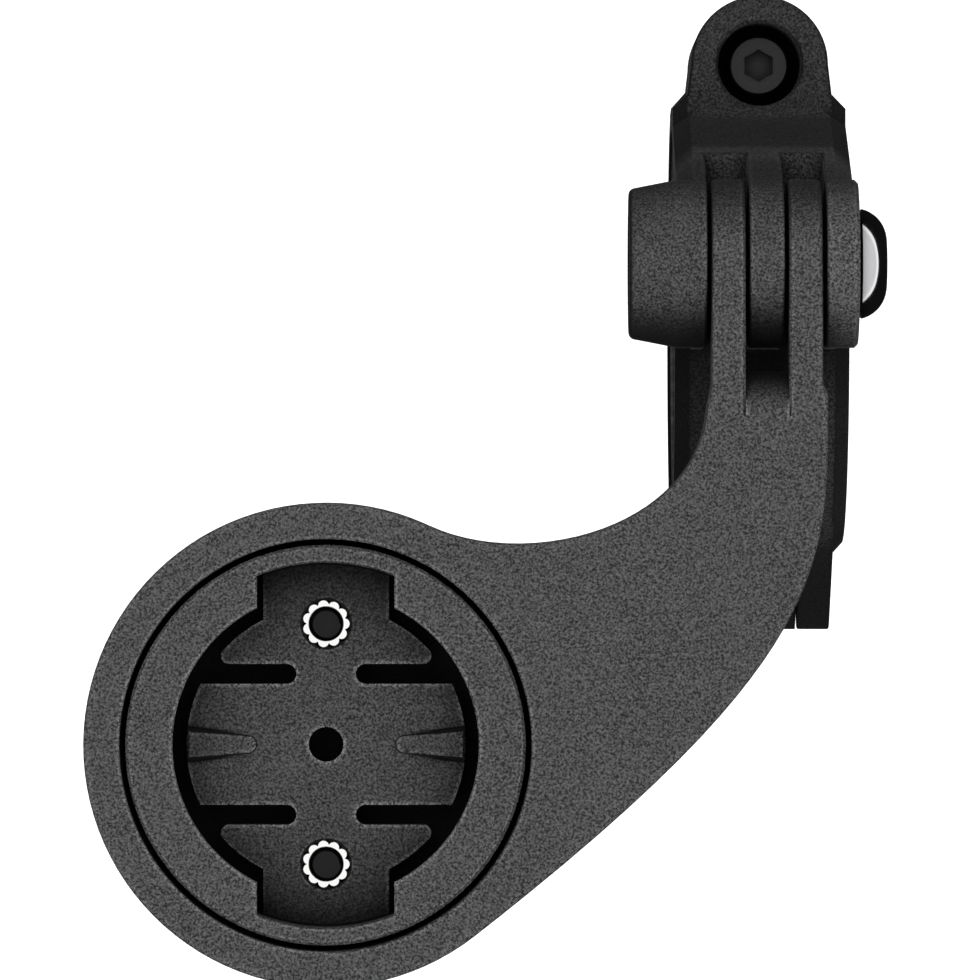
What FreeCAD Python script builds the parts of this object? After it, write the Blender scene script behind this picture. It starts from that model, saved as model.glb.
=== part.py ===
import FreeCAD, Part
import math
import os

# Over-stem handlebar mount for a bicycle computer, in millimetres.
# Origin on the handlebar's axis, in the middle of the clamp. +X runs along the bar to the rider's
# right, +Y points forward and +Z up. A hinged two-piece clamp carries a three-prong pivot. A flat
# arm tilts on that pivot and ends in a round cup, which holds a quarter-turn (bayonet) socket.

# Handlebar, rubber liner and clamp ring
bar_diameter = 31.8
liner_thickness = 1.6
liner_inset = 0.25
ring_wall = 3.3
clamp_width = 15.26
ring_bevel_width = 1.26
ring_bevel_drop = 1.4
parting_gap = 0.8
liner_parting_gap = 1.2

# Pivot between clamp and arm
pivot_forward = 4.85
pivot_rise = 0.64
pivot_radius = 7.28
middle_prong = 3.0
arm_prong = 2.9
outer_prong = 2.83
prong_gap = 0.37
slot_floor_gap = 0.32
slot_floor_slope = 5.8
prong_edge_radius = 0.3
boss_length = 6.7
boss_end_radius = 6.45
boss_edge_radius = 0.6
washer_face_bevel = 0.3

# Clamp ears
ear_screw_reach = 2.1
ear_radius = 6.05
ear_shoulder_inset = 1.8
ear_shoulder_run = 1.2
saddle_ear_top = 10.8
strap_ear_depth = 6.9
nut_pocket_depth = 3.7
ear_edge_radius = 0.45
ear_root_radius = 1.5
counterbore_radius = 3.68
counterbore_depth = 6.6
counterbore_bevel = 0.2

# Clamp hinge
hinge_reach = 3.2
hinge_radius = 3.2
hinge_half_width = 6.6
hinge_middle_width = 7.1
hinge_side_gap = 0.15
hinge_ring_gap = 0.4
hinge_edge_radius = 0.2
hinge_pin_radius = 1.0
hinge_pin_play = 0.05
hinge_pin_inset = 0.15

# Arm
arm_thickness = 7.7
arm_top_edge = 0.45
arm_bottom_edge = 1.5
arm_slot_bevel = 0.25
arm_web_back = 13.2
arm_underside_blend = 3.0
arm_neck_start = 10.1
arm_neck_run = 1.6
arm_neck_half_width = 5.22
outer_edge_straight = 13.85
outer_edge_leave = 13.0
outer_edge_arrive = 37.0
outer_edge_cup_angle = -52.0
inner_edge_straight = 12.85
inner_edge_leave = 10.0
inner_edge_arrive = 9.5
inner_edge_cup_angle = 65.0
inner_edge_lean = 5.7

# Cup at the arm's end, placed from the pivot's middle
cup_left = 37.9
cup_back = 41.43
cup_wall = 3.13
cup_depth = 9.1
cup_bottom_edge = 2.0
cup_pocket_edge = 0.2
cup_pocket_depth = 6.0

# Quarter-turn socket
socket_clearance = 0.5
socket_wall = 1.52
socket_top_edge = 0.25
socket_bore_radius = 13.15
socket_lug_depth = 2.5
socket_ledge_edge = 0.12
socket_ledge = 1.2
socket_depth = 3.2
notch_width = 11.8
floor_gap = 1.15
floor_corner_radius = 0.7
floor_tab_width = 10.8
tongue_width = 10.4
tongue_thickness = 1.6
tongue_slot = 1.72
tongue_neck = 5.1
socket_hole_radius = 1.5
detent_length = 5.1
detent_outer_width = 2.2
detent_inner_width = 1.4
detent_outer_height = 0.95
detent_inner_height = 0.25
detent_draft = 20.0
detent_inset = 0.15
detent_edge_radius = 0.2

# Knurled inserts in the socket's floor
insert_spacing = 20.68
insert_core_radius = 1.86
insert_lobes = 11
insert_lobe_radius = 0.43
insert_lobe_centre = 1.67

# M3 countersunk socket screws, M3 clamp screw and nut, M5 pivot bolt and nut
m3_radius = 1.5
m3_hole_clearance = 0.2
flat_head_radius = 2.9
flat_head_height = 1.5
flat_head_seat_gap = 0.05
flat_head_key = 2.0
flat_head_key_depth = 1.1
flat_screw_recess = 0.15
clamp_screw_core_radius = 1.34
clamp_screw_length = 10.0
clamp_head_radius = 2.75
clamp_head_height = 3.0
clamp_head_edge = 0.2
clamp_key = 2.5
clamp_key_depth = 1.4
m3_nut_flats = 5.5
m3_nut_height = 2.4
m3_nut_thread_play = 0.22
nut_pocket_gap = 0.1
nut_corner_bevel = 0.3
m5_radius = 2.5
m5_hole_clearance = 0.08
m5_length = 18.0
button_head_radius = 4.75
button_head_height = 2.52
button_rim_height = 0.6
button_flat_radius = 2.0
button_key = 3.0
button_key_depth = 1.7
m5_nut_flats = 8.0
m5_nut_height = 4.0
m5_nut_wall = 1.75
bolt_tip_bevel = 0.4

# Worked out from the sizes above
bore_radius = bar_diameter / 2
ring_inner = bore_radius + liner_thickness
ring_outer = ring_inner + ring_wall
half_width = clamp_width / 2
crown_half_width = half_width - ring_bevel_width
pivot_height = ring_outer + pivot_radius + pivot_rise
deck = pivot_height + pivot_radius
ear_screw_forward = ring_outer + ear_screw_reach
ear_shoulder_start = ring_outer - ear_shoulder_inset
hinge_back = ring_outer + hinge_reach
arm_prong_inner = middle_prong / 2 + prong_gap
arm_prong_outer = arm_prong_inner + arm_prong
outer_prong_inner = arm_prong_outer + prong_gap
washer_face = outer_prong_inner + outer_prong
boss_face = -(outer_prong_inner + boss_length)
slot_floor = pivot_height - pivot_radius - slot_floor_gap
arm_underside = deck - arm_thickness
socket_lug_radius = socket_bore_radius + socket_lug_depth
socket_radius = socket_lug_radius + socket_wall
floor_radius = socket_bore_radius - floor_gap
cup_pocket_radius = socket_radius + socket_clearance
cup_radius = cup_pocket_radius + cup_wall
cup_x = -cup_left
cup_y = pivot_forward - cup_back
cup_underside = deck - cup_depth
pocket_floor = deck - cup_pocket_depth
socket_floor = deck - socket_depth
screw_seat = saddle_ear_top - counterbore_depth
screw_tip = screw_seat - clamp_screw_length
strap_ear_bottom = -strap_ear_depth
nut_top = strap_ear_bottom + nut_pocket_depth
pin_height = nut_top - m3_nut_height / 2
far = 200.0


def vec(x, y, z):
    return FreeCAD.Vector(x, y, z)


def block(x_from, x_to, y_from, y_to, z_from, z_to):
    """A box between two corners."""
    return Part.makeBox(x_to - x_from, y_to - y_from, z_to - z_from, vec(x_from, y_from, z_from))


def rod_x(radius, x_from, x_to, y, z):
    """A cylinder along X."""
    return Part.makeCylinder(radius, x_to - x_from, vec(x_from, y, z), vec(1, 0, 0))


def rod_z(radius, z_from, z_to, x, y):
    """A cylinder along Z."""
    return Part.makeCylinder(radius, z_to - z_from, vec(x, y, z_from), vec(0, 0, 1))


def side_profile(edges, x_from, x_to):
    """A solid drawn as a closed outline in the YZ plane at x_from and pushed along X."""
    face = Part.Face(Part.Wire(edges))
    return face.extrude(vec(x_to - x_from, 0, 0))


def polygon_x(points, x_from, x_to):
    """A solid with a straight-sided YZ outline, pushed along X."""
    corners = [vec(x_from, y, z) for y, z in points]
    face = Part.Face(Part.makePolygon(corners + corners[:1]))
    return face.extrude(vec(x_to - x_from, 0, 0))


def turned(points, centre, axis, across):
    """A solid of revolution. Each point is (distance along the axis, radius)."""
    corners = [centre + axis * along + across * radius for along, radius in points]
    face = Part.Face(Part.makePolygon(corners + corners[:1]))
    return face.revolve(centre, axis, 360)


def hexagon(flats, height, centre, axis, corner):
    """A hexagonal bar. The vector corner points from its axis to one of its edges."""
    radius = flats / math.sqrt(3)
    other = axis.cross(corner)
    points = []
    for k in range(6):
        turn = math.radians(60 * k)
        points.append(centre + corner * (radius * math.cos(turn)) + other * (radius * math.sin(turn)))
    face = Part.Face(Part.makePolygon(points + points[:1]))
    return face.extrude(axis * height)


def nut(flats, height, bore, base, axis, corner):
    """A hexagon nut with bevelled corners at both faces."""
    corner_radius = flats / math.sqrt(3)
    flat_radius = flats / 2
    lens = turned([(0, 0), (0, flat_radius), (nut_corner_bevel, corner_radius),
                   (height - nut_corner_bevel, corner_radius), (height, flat_radius), (height, 0)],
                  base, axis, corner)
    hole = Part.makeCylinder(bore, height, base, axis)
    return hexagon(flats, height, base, axis, corner).common(lens).cut(hole)


def edges_where(shape, test):
    """The edges whose middle point and ends pass a test."""
    chosen = []
    for edge in shape.Edges:
        middle = edge.valueAt((edge.FirstParameter + edge.LastParameter) / 2)
        ends = [vertex.Point for vertex in edge.Vertexes]
        if test(middle, ends):
            chosen.append(edge)
    return chosen


def near(value, target, reach=0.001):
    return abs(value - target) < reach


def outer_tangent(centre_a, radius_a, centre_b, radius_b, side):
    """Where a straight line lies against two circles, as two (y, z) points."""
    dy = centre_a[0] - centre_b[0]
    dz = centre_a[1] - centre_b[1]
    span = math.hypot(dy, dz)
    turn = math.atan2(dz, dy) + side * math.acos((radius_b - radius_a) / span)
    normal = (math.cos(turn), math.sin(turn))
    point_a = (centre_a[0] + radius_a * normal[0], centre_a[1] + radius_a * normal[1])
    point_b = (centre_b[0] + radius_b * normal[0], centre_b[1] + radius_b * normal[1])
    return point_a, point_b


def above(height):
    return block(-far, far, -far, far, height, far)


def below(height):
    return block(-far, far, -far, far, -far, height)


def clamp_ring():
    """The full ring about the bar, with bevelled outer edges."""
    shoulder = ring_outer - ring_bevel_drop
    points = [(-half_width, ring_inner), (half_width, ring_inner), (half_width, shoulder),
              (crown_half_width, ring_outer), (-crown_half_width, ring_outer), (-half_width, shoulder)]
    return turned(points, vec(0, 0, 0), vec(1, 0, 0), vec(0, 0, 1))


def bar_space():
    return rod_x(ring_inner, -far, far, 0, 0)


def ear_plate(z_from, z_to, soft_z):
    """The flat ear of one clamp half: a round end about the clamp screw, and bevelled shoulders."""
    neck = crown_half_width
    neck_start = ear_shoulder_start + ear_shoulder_run
    back = ring_inner * math.cos(math.asin(min(0.95, abs(z_to + z_from) / 2 / ring_inner)))
    tip = ear_screw_forward + ear_radius
    left = [vec(-neck, back, z_from), vec(-neck, neck_start, z_from),
            vec(-ear_radius, ear_screw_forward, z_from)]
    right = [vec(-p.x, p.y, p.z) for p in reversed(left)]
    edges = [Part.LineSegment(a, b).toShape() for a, b in zip(left, left[1:])]
    edges.append(Part.Arc(left[-1], vec(0, tip, z_from), right[0]).toShape())
    edges += [Part.LineSegment(a, b).toShape() for a, b in zip(right, right[1:])]
    edges.append(Part.LineSegment(right[-1], left[0]).toShape())
    plate = Part.Face(Part.Wire(edges)).extrude(vec(0, 0, z_to - z_from))
    rim = edges_where(plate, lambda m, ends: near(m.z, soft_z) and m.y > neck_start)
    plate = plate.makeFillet(ear_edge_radius, rim)
    corners = [vec(-half_width, back, z_from), vec(-half_width, ear_shoulder_start, z_from),
               vec(-neck, neck_start, z_from)]
    corners += [vec(-p.x, p.y, p.z) for p in reversed(corners)]
    shoulders = Part.Face(Part.makePolygon(corners + corners[:1])).extrude(vec(0, 0, z_to - z_from))
    side = edges_where(shoulders, lambda m, ends: near(m.z, soft_z) and near(abs(m.x), half_width))
    shoulders = shoulders.makeChamfer(ring_bevel_drop, ring_bevel_width, side)
    return plate.fuse(shoulders).removeSplitter()


def prong_block():
    """The body of the pivot before its slots are cut, from the knuckle's round down to the ring."""
    knuckle, foot = outer_tangent((pivot_forward, pivot_height), pivot_radius, (0, 0), ring_outer, -1)
    x = -half_width
    top = vec(x, pivot_forward, deck)
    back = vec(x, pivot_forward - pivot_radius, pivot_height)
    root_y = back.y
    root_z = math.sqrt(ring_inner ** 2 - root_y ** 2)
    inner = ring_inner / ring_outer
    knuckle_point = vec(x, knuckle[0], knuckle[1])
    foot_point = vec(x, foot[0], foot[1])
    foot_root = vec(x, foot[0] * inner, foot[1] * inner)
    back_root = vec(x, root_y, root_z)
    outline = [Part.LineSegment(foot_point, knuckle_point).toShape(),
               Part.Arc(knuckle_point, top, back).toShape(),
               Part.LineSegment(back, back_root).toShape(),
               Part.LineSegment(back_root, foot_root).toShape(),
               Part.LineSegment(foot_root, foot_point).toShape()]
    body = side_profile(outline, -half_width, half_width)
    slope = [(knuckle[0] + foot[0]) / 2, (knuckle[1] + foot[1]) / 2]
    corners = edges_where(body, lambda m, ends: near(m.y, slope[0]) and near(m.z, slope[1]))
    body = body.makeChamfer(ring_bevel_drop, ring_bevel_width, corners)
    return body.fuse(knuckle_and_boss()).removeSplitter()


def knuckle_and_boss():
    """The round about the bolt, from the tapered nut boss to the face under the bolt's head."""
    points = [(boss_face, 0), (boss_face, boss_end_radius), (-half_width, pivot_radius),
              (washer_face - washer_face_bevel, pivot_radius),
              (washer_face, pivot_radius - washer_face_bevel), (washer_face, 0)]
    body = turned(points, vec(0, pivot_forward, pivot_height), vec(1, 0, 0), vec(0, 0, 1))
    return body.makeFillet(boss_edge_radius, edges_where(body, lambda m, ends: near(m.x, boss_face)))


def prong_slot(low, high):
    """Room for one arm prong, with a floor that rises gently to the front."""
    turn_y = pivot_forward + (pivot_radius + slot_floor_gap) * math.tan(math.radians(slot_floor_slope / 2))
    front_z = slot_floor + (far - turn_y) * math.tan(math.radians(slot_floor_slope))
    return polygon_x([(-far, slot_floor), (turn_y, slot_floor), (far, front_z), (far, far), (-far, far)],
                     low, high)


def saddle_hinge():
    """The two outer hinge knuckles and the webs that carry them."""
    pin = (-hinge_back, pin_height)
    at_knuckle, at_ring = outer_tangent(pin, hinge_radius, (0, 0), ring_outer, -1)
    middle = (ring_inner + ring_outer) / 2
    outline = [at_knuckle, at_ring, (-middle, parting_gap / 2), (-middle, pin_height), pin]
    inner = hinge_middle_width / 2 + hinge_side_gap
    result = []
    for low, high in ((-hinge_half_width, -inner), (inner, hinge_half_width)):
        web = polygon_x(outline, low, high)
        knuckle = web.fuse(rod_x(hinge_radius, low, high, pin[0], pin[1])).removeSplitter()

        def side_rim(m, ends):
            on_round = near(math.hypot(m.y - pin[0], m.z - pin[1]), hinge_radius)
            on_web = near(m.y, (at_knuckle[0] + at_ring[0]) / 2)
            return (near(m.x, low) or near(m.x, high)) and (on_round or on_web)
        knuckle = knuckle.makeFillet(hinge_edge_radius, edges_where(knuckle, side_rim))
        strap_room = rod_x(ring_outer + hinge_ring_gap, low, high, 0, 0).common(below(parting_gap / 2))
        result.append(knuckle.cut(strap_room))
    return result


def strap_hinge():
    """The middle hinge knuckle and its web."""
    pin = (-hinge_back, pin_height)
    at_knuckle, at_ring = outer_tangent(pin, hinge_radius, (0, 0), ring_outer, 1)
    middle = (ring_inner + ring_outer) / 2
    top = -parting_gap / 2
    outline = [at_knuckle, at_ring, (at_ring[0] * middle / ring_outer, at_ring[1] * middle / ring_outer),
               (-middle, top), (-hinge_back, pin_height + hinge_radius), pin]
    half = hinge_middle_width / 2
    return polygon_x(outline, -half, half).fuse(rod_x(hinge_radius, -half, half, pin[0], pin[1]))


def clamp_saddle():
    """Upper clamp half: ring, ear, pivot prongs, nut boss and two hinge knuckles."""
    upper = clamp_ring().common(above(parting_gap / 2))
    ear = ear_plate(parting_gap / 2, saddle_ear_top, saddle_ear_top)
    pivot = prong_block()
    inner = middle_prong / 2
    for low, high in ((-outer_prong_inner, -inner), (inner, outer_prong_inner)):
        pivot = pivot.cut(prong_slot(low, high))
    walls = [inner, outer_prong_inner]
    above_floor = slot_floor + pivot_radius / 4

    def slot_rim(m, ends):
        return m.z > above_floor and any(near(abs(m.x), wall) for wall in walls)
    pivot = pivot.makeFillet(prong_edge_radius, edges_where(pivot, slot_rim))
    body = upper.fuse([ear, pivot] + saddle_hinge())
    body = body.cut(bar_space())
    bolt_hole = rod_x(m5_radius + m5_hole_clearance, -far, far, pivot_forward, pivot_height)
    nut_seat = -(outer_prong_inner + m5_nut_wall)
    nut_room = hexagon(m5_nut_flats + nut_pocket_gap, far, vec(nut_seat, pivot_forward, pivot_height),
                       vec(-1, 0, 0), vec(0, 0, 1))
    screw_hole = rod_z(m3_radius + m3_hole_clearance, -far, far, 0, ear_screw_forward)
    bevel_start = counterbore_depth - counterbore_bevel
    head_room = turned([(0, 0), (0, counterbore_radius), (bevel_start, counterbore_radius),
                        (counterbore_depth, counterbore_radius + counterbore_bevel), (counterbore_depth, 0)],
                       vec(0, ear_screw_forward, screw_seat), vec(0, 0, 1), vec(1, 0, 0))
    pin_hole = rod_x(hinge_pin_radius, -far, far, -hinge_back, pin_height)
    for cutter in (bolt_hole, nut_room, screw_hole, head_room, pin_hole):
        body = body.cut(cutter)
    body = body.removeSplitter()

    def ear_root(m, ends):
        across = near(m.x, 0) and near(ends[0].x, -ends[-1].x)
        return across and near(m.z, saddle_ear_top) and ear_shoulder_start > m.y > ring_inner
    return body.makeFillet(ear_root_radius, edges_where(body, ear_root))


def clamp_strap():
    """Lower clamp half: ring, ear with a nut pocket, and the middle hinge knuckle."""
    lower = clamp_ring().common(below(-parting_gap / 2))
    ear = ear_plate(strap_ear_bottom, -parting_gap / 2, strap_ear_bottom)
    body = lower.fuse([ear, strap_hinge()])
    body = body.cut(bar_space())
    screw_hole = rod_z(m3_radius + m3_hole_clearance, -far, far, 0, ear_screw_forward)
    nut_room = hexagon(m3_nut_flats + nut_pocket_gap, nut_top - strap_ear_bottom,
                       vec(0, ear_screw_forward, strap_ear_bottom), vec(0, 0, 1), vec(0, 1, 0))
    pin_hole = rod_x(hinge_pin_radius + hinge_pin_play, -far, far, -hinge_back, pin_height)
    for cutter in (screw_hole, nut_room, pin_hole):
        body = body.cut(cutter)
    return body.removeSplitter()


def liner(keep):
    """One rubber half shell between the bar and the clamp."""
    half = half_width - liner_inset
    shell = rod_x(ring_inner, -half, half, 0, 0).cut(rod_x(bore_radius, -half, half, 0, 0))
    return shell.common(keep)


def bezier(start, leave, arrive, end):
    """A smooth edge with the directions and reach of its two handles."""
    curve = Part.BezierCurve()
    curve.setPoles([start, start + leave, end - arrive, end])
    return curve.toShape()


def cup_rim_point(angle):
    turn = math.radians(angle)
    outward = vec(math.cos(turn), math.sin(turn), 0)
    return vec(cup_x, cup_y, arm_underside) + outward * cup_radius, outward


def arm_plan():
    """The arm's outline from above, as a face at the height of its underside."""
    z = arm_underside
    down = vec(0, -1, 0)
    neck_y = pivot_forward - arm_neck_start
    full_y = neck_y - arm_neck_run
    front_right = vec(arm_prong_outer, pivot_forward, z)
    neck_right = vec(arm_prong_outer, neck_y, z)
    full_right = vec(arm_neck_half_width, full_y, z)
    bend_right = vec(arm_neck_half_width, pivot_forward - outer_edge_straight, z)
    rim_right, out_right = cup_rim_point(outer_edge_cup_angle)
    rim_left, out_left = cup_rim_point(inner_edge_cup_angle)
    bend_left = vec(-arm_neck_half_width, pivot_forward - inner_edge_straight, z)
    neck_left = vec(-arm_prong_outer, neck_y, z)
    front_left = vec(-arm_prong_outer, pivot_forward, z)
    clockwise_right = vec(out_right.y, -out_right.x, 0)
    clockwise_left = vec(out_left.y, -out_left.x, 0)
    lean = vec(math.sin(math.radians(inner_edge_lean)), math.cos(math.radians(inner_edge_lean)), 0)
    handle = arm_neck_run / 2
    far_rim, _ = cup_rim_point((outer_edge_cup_angle + inner_edge_cup_angle) / 2 + 180)
    edges = [Part.LineSegment(front_left, front_right).toShape(),
             Part.LineSegment(front_right, neck_right).toShape(),
             bezier(neck_right, down * handle, down * handle, full_right),
             Part.LineSegment(full_right, bend_right).toShape(),
             bezier(bend_right, down * outer_edge_leave, clockwise_right * outer_edge_arrive, rim_right),
             Part.Arc(rim_right, far_rim, rim_left).toShape(),
             bezier(rim_left, clockwise_left * inner_edge_arrive, lean * inner_edge_leave, bend_left),
             bezier(bend_left, lean * handle, vec(0, 1, 0) * handle, neck_left),
             Part.LineSegment(neck_left, front_left).toShape()]
    return Part.Face(Part.Wire(edges))


def arm():
    """Tilting arm: two pivot prongs, the curved web and the cup for the socket."""
    plate = arm_plan().extrude(vec(0, 0, arm_thickness))
    rim = edges_where(plate, lambda m, ends: near(m.z, deck) and m.y < pivot_forward - 0.01)
    plate = plate.makeFillet(arm_top_edge, rim)
    foot = edges_where(plate, lambda m, ends: near(m.z, arm_underside) and m.y < pivot_forward - 0.01)
    plate = plate.makeFillet(arm_bottom_edge, foot)
    knuckle = rod_x(pivot_radius, -arm_prong_outer, arm_prong_outer, pivot_forward, pivot_height)
    sides = edges_where(knuckle, lambda m, ends: near(abs(m.x), arm_prong_outer))
    knuckle = knuckle.makeFillet(arm_top_edge, sides)
    drop = pivot_height - arm_underside + arm_underside_blend
    blend_y = pivot_forward - math.sqrt((pivot_radius + arm_underside_blend) ** 2 - drop ** 2)
    blend_z = arm_underside - arm_underside_blend
    blend = polygon_x([(pivot_forward, pivot_height), (blend_y, pivot_height), (blend_y, arm_underside),
                       (blend_y, blend_z)], -arm_prong_outer + arm_top_edge, arm_prong_outer - arm_top_edge)
    blend = blend.cut(rod_x(arm_underside_blend, -far, far, blend_y, blend_z))
    cup = rod_z(cup_radius, cup_underside, deck, cup_x, cup_y)
    cup = cup.makeFillet(arm_top_edge, edges_where(cup, lambda m, ends: near(m.z, deck)))
    cup = cup.makeFillet(cup_bottom_edge, edges_where(cup, lambda m, ends: near(m.z, cup_underside)))
    body = plate.fuse([knuckle, blend, cup]).removeSplitter()
    nose_y = pivot_forward - arm_web_back
    nose_z = deck - arm_thickness / 2
    nose = rod_x(arm_thickness / 2, -arm_prong_inner, arm_prong_inner, nose_y, nose_z)
    slot = block(-arm_prong_inner, arm_prong_inner, nose_y, far, -far, far).cut(nose)
    body = body.cut(slot)
    body = body.cut(rod_x(m5_radius + m5_hole_clearance, -far, far, pivot_forward, pivot_height))
    for cutter in arm_slot_bevels(nose_y):
        body = body.cut(cutter)
    body = body.cut(rod_z(cup_pocket_radius, pocket_floor, far, cup_x, cup_y))
    pocket_rim = edges_where(body, lambda m, ends: near(m.z, deck)
                             and near(math.hypot(m.x - cup_x, m.y - cup_y), cup_pocket_radius))
    body = body.makeFillet(cup_pocket_edge, pocket_rim)
    for y in insert_places():
        body = body.cut(rod_z(m3_radius + m3_hole_clearance / 2, -far, far, cup_x, y))
        sink = Part.makeCone(flat_head_radius + flat_head_seat_gap, m3_radius + flat_head_seat_gap,
                             flat_head_height, vec(cup_x, y, cup_underside))
        body = body.cut(sink)
    return body.removeSplitter()


def arm_slot_bevels(back):
    """What is cut from the slot's upper edges: straight along the deck, then round the pivot."""
    cutters = []
    for side in (-1, 1):
        wall = side * arm_prong_inner
        top = side * (arm_prong_inner + arm_slot_bevel)
        corners = [vec(wall, back, deck - arm_slot_bevel), vec(top, back, deck), vec(wall, back, deck)]
        along_deck = Part.Face(Part.makePolygon(corners + corners[:1]))
        cutters.append(along_deck.extrude(vec(0, pivot_forward - back, 0)))
        section = [(wall, pivot_radius - arm_slot_bevel), (top, pivot_radius), (wall, pivot_radius)]
        round_pivot = turned(section, vec(0, pivot_forward, pivot_height), vec(1, 0, 0), vec(0, 0, 1))
        cutters.append(round_pivot.common(block(-far, far, pivot_forward, far, -far, far)))
    return cutters


def insert_places():
    return [cup_y + insert_spacing / 2, cup_y - insert_spacing / 2]


def detent_rib(side):
    """A ridge with drafted flanks on the spring floor. It rises and widens towards the rim."""
    outer = floor_radius - detent_inset
    inner = outer - detent_length
    low = socket_floor - tongue_thickness / 2
    spread = math.tan(math.radians(detent_draft))
    sections = []
    for reach, width, height in ((outer, detent_outer_width, detent_outer_height),
                                 (inner, detent_inner_width, detent_inner_height)):
        x = cup_x + side * reach
        top = socket_floor + height
        foot = width / 2 + (top - low) * spread
        points = [vec(x, cup_y - foot, low), vec(x, cup_y + foot, low),
                  vec(x, cup_y + width / 2, top), vec(x, cup_y - width / 2, top)]
        sections.append(Part.makePolygon(points + points[:1]))
    rib = Part.makeLoft(sections, True, True)
    rib_top = edges_where(rib, lambda m, ends: all(p.z > socket_floor for p in ends))
    rib = rib.makeFillet(detent_edge_radius, rib_top)
    nose_height = socket_floor + detent_inner_height - low
    nose_foot = detent_inner_width / 2 + nose_height * spread
    nose_base = vec(cup_x + side * inner, cup_y, low)
    nose = Part.makeCone(nose_foot, detent_inner_width / 2, nose_height, nose_base)
    return rib.fuse(nose)


def mouth_bevel():
    """A narrow bevel round the top of the socket's bore."""
    base = vec(cup_x, cup_y, deck - socket_ledge_edge)
    return Part.makeCone(socket_bore_radius, socket_bore_radius + socket_ledge_edge, socket_ledge_edge, base)


def notch_bevel():
    """The same bevel along the two notches."""
    edge = socket_ledge_edge
    half = notch_width / 2
    low = deck - edge
    corners = [vec(cup_x - half, -far, low), vec(cup_x + half, -far, low),
               vec(cup_x + half + edge, -far, deck), vec(cup_x - half - edge, -far, deck)]
    wedge = Part.Face(Part.makePolygon(corners + corners[:1])).extrude(vec(0, 2 * far, 0))
    cone = Part.makeCone(socket_lug_radius, socket_lug_radius + edge, edge, vec(cup_x, cup_y, low))
    return cone.common(wedge)


def twist_socket():
    """Quarter-turn socket: ledge with two notches over a floor cut into springs."""
    body = rod_z(socket_radius, pocket_floor, deck, cup_x, cup_y)
    body = body.makeChamfer(socket_top_edge, edges_where(body, lambda m, ends: near(m.z, deck)))
    notch = rod_z(socket_lug_radius, socket_floor, far, cup_x, cup_y)
    notch = notch.common(block(cup_x - notch_width / 2, cup_x + notch_width / 2, -far, far, -far, far))
    undercut = rod_z(socket_lug_radius, socket_floor, deck - socket_ledge, cup_x, cup_y)
    mouth = rod_z(socket_bore_radius, socket_floor, far, cup_x, cup_y)
    tab = block(cup_x - floor_tab_width / 2, cup_x + floor_tab_width / 2, -far, far, -far, far)
    floor = rod_z(floor_radius, -far, far, cup_x, cup_y).fuse(tab)
    around_floor = rod_z(socket_lug_radius, pocket_floor, socket_floor, cup_x, cup_y).cut(floor)
    for cutter in (notch, undercut, mouth, around_floor, mouth_bevel(), notch_bevel()):
        body = body.cut(cutter)
    slot_inner = tongue_width / 2
    slot_outer = slot_inner + tongue_slot
    for side_x in (-1, 1):
        for side_y in (-1, 1):
            end_x = cup_x + side_x * (tongue_neck / 2 + tongue_slot / 2)
            rim_x = cup_x + side_x * socket_bore_radius
            low_y, high_y = sorted((cup_y + side_y * slot_inner, cup_y + side_y * slot_outer))
            slot = block(min(end_x, rim_x), max(end_x, rim_x), low_y, high_y, pocket_floor, socket_floor)
            slot_end = rod_z(tongue_slot / 2, pocket_floor, socket_floor, end_x, (low_y + high_y) / 2)
            body = body.cut(slot.fuse(slot_end))
    under_tongue = block(cup_x - floor_radius, cup_x + floor_radius, cup_y - slot_inner, cup_y + slot_inner,
                         pocket_floor, socket_floor - tongue_thickness)
    body = body.cut(under_tongue)
    corner_y = (slot_outer, -slot_outer)
    corners = edges_where(body, lambda m, ends: near(ends[0].x, ends[-1].x)
                          and any(near(m.y - cup_y, y) for y in corner_y)
                          and near(math.hypot(m.x - cup_x, m.y - cup_y), floor_radius))
    body = body.makeFillet(floor_corner_radius, corners)
    body = body.fuse([detent_rib(-1), detent_rib(1)])
    body = body.cut(rod_z(socket_hole_radius, -far, far, cup_x, cup_y))
    for y in insert_places():
        body = body.cut(knurled_body(y))
    return body.removeSplitter()


def knurled_body(y):
    """The outside of a knurled insert, with rounded lobes."""
    body = rod_z(insert_core_radius, pocket_floor, socket_floor, cup_x, y)
    for k in range(insert_lobes):
        turn = math.radians(90 + 360 * k / insert_lobes)
        lobe_x = cup_x + insert_lobe_centre * math.cos(turn)
        lobe_y = y + insert_lobe_centre * math.sin(turn)
        body = body.fuse(rod_z(insert_lobe_radius, pocket_floor, socket_floor, lobe_x, lobe_y))
    return body.removeSplitter()


def knurled_insert(y):
    return knurled_body(y).cut(rod_z(m3_radius, pocket_floor, socket_floor, cup_x, y))


def socket_screw(y):
    """M3 countersunk screw, driven from under the cup into an insert."""
    tip = socket_floor - flat_screw_recess
    points = [(0, 0), (0, flat_head_radius), (flat_head_height, m3_radius),
              (tip - cup_underside, m3_radius), (tip - cup_underside, 0)]
    body = turned(points, vec(cup_x, y, cup_underside), vec(0, 0, 1), vec(1, 0, 0))
    key = hexagon(flat_head_key, flat_head_key_depth, vec(cup_x, y, cup_underside),
                  vec(0, 0, 1), vec(1, 0, 0))
    return body.cut(key)


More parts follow.
